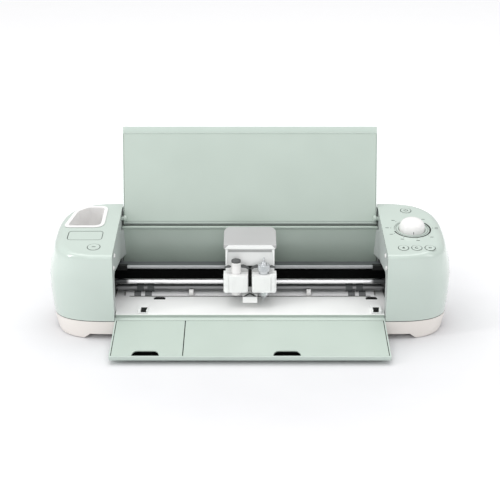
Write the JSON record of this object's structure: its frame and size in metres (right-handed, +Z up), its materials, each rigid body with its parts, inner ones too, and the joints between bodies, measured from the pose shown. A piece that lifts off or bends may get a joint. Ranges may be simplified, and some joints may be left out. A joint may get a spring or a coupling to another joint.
{
  "type": "electronic die cutting machine",
  "caption": "Desktop electronic die cutting machine for paper crafts: two rounded towers, hinged lid and storage door, a mat bed with grit roller, and a sliding carriage with tool clamps.",
  "frame": {"origin": "middle of the footprint of the open machine, on the surface under the rubber feet", "axes": "+X to the machine's right as its user sees it, +Y to the back, +Z up"},
  "size_m": [0.553, 0.2552, 0.2548],
  "materials": {
    "mint_shell": "gloss moulded ABS, pale mint",
    "mint_inner": "fine-textured moulded ABS, mint",
    "cream_base": "satin moulded ABS, warm white",
    "white_parts": "satin moulded plastic, white",
    "grey_panel": "matt moulded plastic, grey",
    "grey_cover": "satin moulded plastic, light grey",
    "black_beam": "black anodised extrusion",
    "black_plastic": "black moulded plastic",
    "rubber": "soft matt rubber",
    "circuit_board": "green glass-fibre board",
    "steel": "plain steel",
    "polished_steel": "ground and polished steel",
    "grey_metal": "satin grey metal"
  },
  "bodies": {
    "machine": {"base_tray": "cream_base", "left_tower_shell": "mint_shell", "right_tower_shell": "mint_shell", "front_left_foot": "rubber", "front_right_foot": "rubber", "rear_left_foot": "rubber", "rear_right_foot": "rubber", "left_inner_panel": "grey_panel", "right_inner_panel": "grey_panel", "left_side_plate": "steel", "right_side_plate": "steel", "rear_cover": "mint_inner", "mat_bed": "white_parts", "left_mat_guide": "white_parts", "right_mat_guide": "white_parts", "guide_beam": "black_beam", "upper_rod": "polished_steel", "lower_rod": "polished_steel", "left_roller_clip": "white_parts", "right_roller_clip": "white_parts", "roller_motor": "steel", "carriage_motor": "steel", "drive_belt": "rubber", "main_board": "circuit_board", "panel_board": "circuit_board", "usb_socket": "steel", "power_socket": "black_plastic", "tool_cup": "white_parts", "port_well": "grey_panel", "dial_ring": "mint_shell"},
    "lid": {"lid_shell": "mint_shell", "lid_liner": "mint_inner"},
    "door": {"door_shell": "mint_shell"},
    "left_cover": {"left_storage_cover": "mint_inner"},
    "right_cover": {"right_storage_cover": "mint_inner"},
    "flap": {"port_flap": "mint_shell"},
    "dial": {"dial_knob": "white_parts"},
    "open_button": {"open_button": "mint_shell"},
    "load_button": {"load_button": "mint_shell"},
    "cut_button": {"cut_button": "mint_shell"},
    "pause_button": {"pause_button": "mint_shell"},
    "power_button": {"power_button": "mint_shell"},
    "carriage": {"carriage_body": "white_parts", "carriage_cover": "grey_cover", "belt_clamp": "grey_panel"},
    "accessory_holder": {"accessory_holder": "white_parts", "accessory_adapter": "white_parts"},
    "blade_holder": {"blade_holder": "white_parts", "blade_housing": "steel"},
    "accessory_clamp": {"accessory_clamp": "white_parts"},
    "blade_clamp": {"blade_clamp": "white_parts"},
    "motor_pulley": {"motor_pulley": "steel"},
    "idler_pulley": {"idler_pulley": "steel"},
    "drive_roller": {"drive_roller": "polished_steel", "drive_gear": "white_parts"},
    "roller_pinion": {"roller_pinion": "steel"},
    "pinch_shaft": {"pinch_shaft": "grey_metal"}
  },
  "joints": [
    {"name": "lid_hinge", "type": "hinge", "parent": "machine", "child": "lid", "pos_m": [0, 0.08612, 0.1296], "axis": [1, 0, 0], "range_deg": [0, 113]},
    {"name": "door_hinge", "type": "hinge", "parent": "machine", "child": "door", "pos_m": [0, -0.03968, 0.0268], "axis": [-1, 0, 0], "range_deg": [0, 101.3]},
    {"name": "left_cover_hinge", "type": "hinge", "parent": "door", "child": "left_cover", "pos_m": [-0.133, -0.04705, 0.02696], "axis": [1, 0, 0], "range_deg": [-100, 0]},
    {"name": "right_cover_hinge", "type": "hinge", "parent": "door", "child": "right_cover", "pos_m": [0.045, -0.04705, 0.02696], "axis": [1, 0, 0], "range_deg": [-100, 0]},
    {"name": "flap_hinge", "type": "hinge", "parent": "machine", "child": "flap", "pos_m": [-0.2255, 0.0243, 0.13107], "axis": [-1, 0, 0], "range_deg": [0, 95]},
    {"name": "dial_turn", "type": "hinge", "parent": "machine", "child": "dial", "pos_m": [0.224, 0.03172, 0.13232], "axis": [0, -0.1657, 0.9862], "range_deg": [-135, 135]},
    {"name": "open_button_press", "type": "slide", "parent": "machine", "child": "open_button", "axis": [0, -0.1657, 0.9862], "range_m": [-0.0015, 0], "stiffness_N_per_m": 200, "springref_m": 0.001},
    {"name": "load_button_press", "type": "slide", "parent": "machine", "child": "load_button", "axis": [0, -0.1657, 0.9862], "range_m": [-0.0015, 0], "stiffness_N_per_m": 200, "springref_m": 0.001},
    {"name": "cut_button_press", "type": "slide", "parent": "machine", "child": "cut_button", "axis": [0, -0.1657, 0.9862], "range_m": [-0.0015, 0], "stiffness_N_per_m": 200, "springref_m": 0.001},
    {"name": "pause_button_press", "type": "slide", "parent": "machine", "child": "pause_button", "axis": [0, -0.1657, 0.9862], "range_m": [-0.0015, 0], "stiffness_N_per_m": 200, "springref_m": 0.001},
    {"name": "power_button_press", "type": "slide", "parent": "machine", "child": "power_button", "axis": [0, -0.1657, 0.9862], "range_m": [-0.0015, 0], "stiffness_N_per_m": 200, "springref_m": 0.001},
    {"name": "carriage_slide", "type": "slide", "parent": "machine", "child": "carriage", "axis": [1, 0, 0], "range_m": [-0.143, 0.143]},
    {"name": "accessory_lift", "type": "slide", "parent": "carriage", "child": "accessory_holder", "axis": [0, 0, 1], "range_m": [-0.0035, 0], "stiffness_N_per_m": 300, "springref_m": 0.008},
    {"name": "blade_lift", "type": "slide", "parent": "carriage", "child": "blade_holder", "axis": [0, 0, 1], "range_m": [-0.0035, 0], "stiffness_N_per_m": 300, "springref_m": 0.008},
    {"name": "accessory_clamp_hinge", "type": "hinge", "parent": "accessory_holder", "child": "accessory_clamp", "pos_m": [-0.0315, -0.00778, 0.072], "axis": [0, 0, -1], "range_deg": [0, 70]},
    {"name": "blade_clamp_hinge", "type": "hinge", "parent": "blade_holder", "child": "blade_clamp", "pos_m": [0.0315, -0.00778, 0.072], "axis": [0, 0, 1], "range_deg": [0, 70]},
    {"name": "motor_pulley_turn", "type": "hinge", "parent": "machine", "child": "motor_pulley", "pos_m": [0.21, 0.06312, 0.063], "axis": [0, 0, 1], "continuous": true},
    {"name": "idler_pulley_turn", "type": "hinge", "parent": "machine", "child": "idler_pulley", "pos_m": [-0.21, 0.06312, 0.063], "axis": [0, 0, 1], "continuous": true},
    {"name": "drive_roller_turn", "type": "hinge", "parent": "machine", "child": "drive_roller", "pos_m": [0, 0.04372, 0.026], "axis": [1, 0, 0], "continuous": true},
    {"name": "roller_pinion_turn", "type": "hinge", "parent": "machine", "child": "roller_pinion", "pos_m": [-0.198, 0.02272, 0.026], "axis": [1, 0, 0], "continuous": true},
    {"name": "pinch_shaft_turn", "type": "hinge", "parent": "machine", "child": "pinch_shaft", "pos_m": [0, 0.04372, 0.0406], "axis": [1, 0, 0], "continuous": true}
  ],
  "couplings": [
    {"joint": "motor_pulley_turn", "follows": "carriage_slide", "rad_per_m": -151.52},
    {"joint": "idler_pulley_turn", "follows": "carriage_slide", "rad_per_m": -151.52},
    {"joint": "roller_pinion_turn", "follows": "drive_roller_turn", "ratio": -2.5},
    {"joint": "pinch_shaft_turn", "follows": "drive_roller_turn", "ratio": -1.6863}
  ]
}
